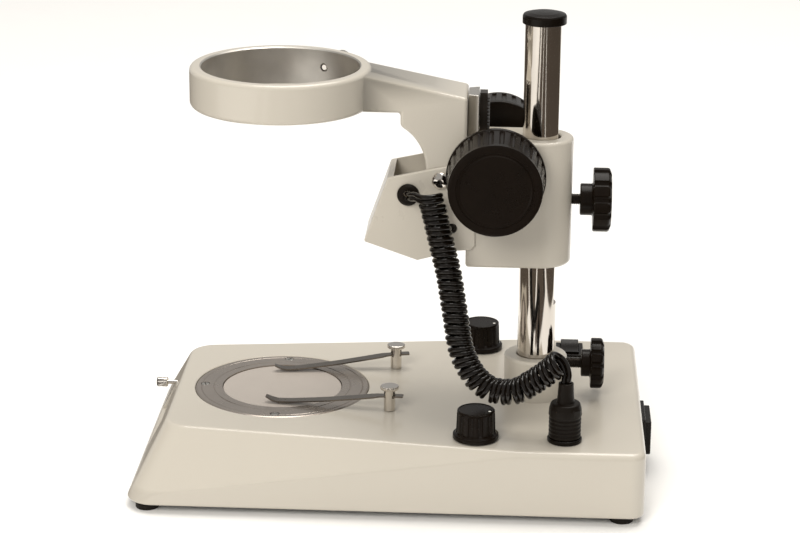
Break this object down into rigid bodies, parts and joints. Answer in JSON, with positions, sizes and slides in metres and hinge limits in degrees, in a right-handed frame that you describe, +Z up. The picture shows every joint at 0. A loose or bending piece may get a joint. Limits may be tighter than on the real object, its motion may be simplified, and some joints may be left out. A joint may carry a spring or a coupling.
{
  "type": "stereo microscope pole stand",
  "caption": "Pole stand for a stereo microscope: lit base with round stage and clips, rack focus on a sliding block, and a ring arm with a lamp.",
  "frame": {"origin": "on the table, under the middle of the footprint, in the stand's plane of symmetry", "axes": "+X towards the side with the curly cord, +Y towards the pole and the mains inlet, +Z up; the front is -Y"},
  "size_m": [0.1764, 0.278, 0.2526],
  "materials": {
    "enamel": "semi-gloss ivory stoving enamel with a fine orange-peel",
    "chrome": "bright chrome plate",
    "black_plastic": "satin moulded phenolic",
    "rubber": "matt black rubber",
    "steel": "turned bright steel",
    "dark_steel": "oiled, blackened steel",
    "aluminium": "machined, satin",
    "stage_metal": "satin, bronze-brown anodised",
    "brass": "turned, satin",
    "frosted_glass": "ground on one face",
    "mirror": "front-silvered glass",
    "sheet": "galvanised sheet",
    "ceramic": "cream glazed ceramic",
    "board": "green glass-epoxy board"
  },
  "bodies": {
    "base": {"base_casting": "enamel", "base_plate": "sheet", "foot_1": "rubber", "foot_2": "rubber", "foot_3": "rubber", "foot_4": "rubber", "stage_ring": "stage_metal", "stage_glass": "frosted_glass", "stage_screw_1": "steel", "stage_screw_2": "steel", "stage_screw_3": "steel", "pole": "chrome", "pole_cap": "black_plastic", "dimmer_near": "sheet", "dimmer_far": "sheet", "dimmer_board": "board", "switch_frame": "black_plastic", "cord_socket": "black_plastic", "cord_plug": "rubber", "cord_plug_tail": "rubber", "mains_inlet": "black_plastic", "mirror": "mirror", "lower_lamp": "aluminium", "lower_lamp_holder": "ceramic", "transformer": "dark_steel"},
    "clip_near": {"clip_near_post": "chrome", "clip_near_strip": "steel"},
    "clip_far": {"clip_far_post": "chrome", "clip_far_strip": "steel"},
    "dial_near": {"dial_near": "black_plastic"},
    "dial_far": {"dial_far": "black_plastic"},
    "switch_rocker": {"switch_rocker": "black_plastic"},
    "diffuser_slider": {"slider_rod": "chrome", "slider_frame": "sheet", "slider_diffuser": "frosted_glass"},
    "lower_clamp": {"lower_clamp_screw": "steel", "lower_clamp_knob": "black_plastic"},
    "head": {"focus_block": "enamel", "bearing_near": "brass", "bearing_far": "brass", "cord_coil": "rubber"},
    "upper_clamp": {"upper_clamp_screw": "steel", "upper_clamp_knob": "black_plastic"},
    "focus_pinion": {"pinion_shaft": "steel", "focus_knob_near": "black_plastic", "focus_knob_far": "black_plastic"},
    "carriage": {"arm_and_ring": "enamel", "dovetail_slide": "aluminium", "rack": "dark_steel", "pivot_screw_near": "chrome", "pivot_screw_far": "chrome"},
    "ring_lock": {"ring_lock_screw": "chrome"},
    "lamp": {"lamp_housing": "enamel", "cord_grommet": "rubber", "lock_screw": "dark_steel", "lamp_filter": "frosted_glass", "upper_lamp": "aluminium", "lamp_socket": "ceramic", "cord_lamp_tail": "rubber"}
  },
  "joints": [
    {"name": "column_slide", "type": "slide", "parent": "base", "child": "head", "axis": [0, 0, 1], "range_m": [-0.05, 0.058], "deforming": ["cord_lamp_tail", "cord_coil", "cord_plug_tail"]},
    {"name": "focus_turn", "type": "hinge", "parent": "head", "child": "focus_pinion", "pos_m": [0, 0.0518, 0.1705], "axis": [-1, 0, 0], "range_deg": [-263, 239]},
    {"name": "focus_slide", "type": "slide", "parent": "head", "child": "carriage", "axis": [0, 0, 1], "range_m": [-0.022, 0.02], "deforming": ["cord_lamp_tail", "cord_coil", "cord_plug_tail"]},
    {"name": "lamp_tilt", "type": "hinge", "parent": "carriage", "child": "lamp", "pos_m": [0, 0.0226, 0.165], "axis": [1, 0, 0], "range_deg": [-8, 8], "deforming": ["cord_lamp_tail", "cord_coil", "cord_plug_tail"]},
    {"name": "ring_lock_turn", "type": "hinge", "parent": "carriage", "child": "ring_lock", "pos_m": [-0.04407, -0.03987, 0.2112], "axis": [-0.8813, 0.4726, 0], "range_deg": [-180, 180]},
    {"name": "upper_clamp_turn", "type": "hinge", "parent": "head", "child": "upper_clamp", "pos_m": [0, 0.105, 0.151], "axis": [0, 1, 0], "range_deg": [-180, 90]},
    {"name": "lower_clamp_turn", "type": "hinge", "parent": "base", "child": "lower_clamp", "pos_m": [0, 0.105, 0.0581], "axis": [0, 1, 0], "range_deg": [-180, 90]},
    {"name": "clip_near_swing", "type": "hinge", "parent": "base", "child": "clip_near", "pos_m": [0.0328, -0.0026, 0.045], "axis": [0, 0, 1], "range_deg": [-60, 25]},
    {"name": "clip_far_swing", "type": "hinge", "parent": "base", "child": "clip_far", "pos_m": [-0.0328, -0.0026, 0.045], "axis": [0, 0, 1], "range_deg": [-25, 60]},
    {"name": "dial_near_turn", "type": "hinge", "parent": "base", "child": "dial_near", "pos_m": [0.0695, 0.0445, 0.05], "axis": [0, 0, 1], "range_deg": [-270, 0]},
    {"name": "dial_far_turn", "type": "hinge", "parent": "base", "child": "dial_far", "pos_m": [-0.0695, 0.0445, 0.05], "axis": [0, 0, 1], "range_deg": [-270, 0]},
    {"name": "switch_tilt", "type": "hinge", "parent": "base", "child": "switch_rocker", "pos_m": [-0.0665, 0.0951, 0.0405], "axis": [0, 1, 0], "range_deg": [-18, 0]},
    {"name": "diffuser_slide", "type": "slide", "parent": "base", "child": "diffuser_slider", "axis": [0, -1, 0], "range_m": [0, 0.05]}
  ],
  "couplings": [
    {"joint": "focus_turn", "follows": "focus_slide", "rad_per_m": 208.33}
  ]
}
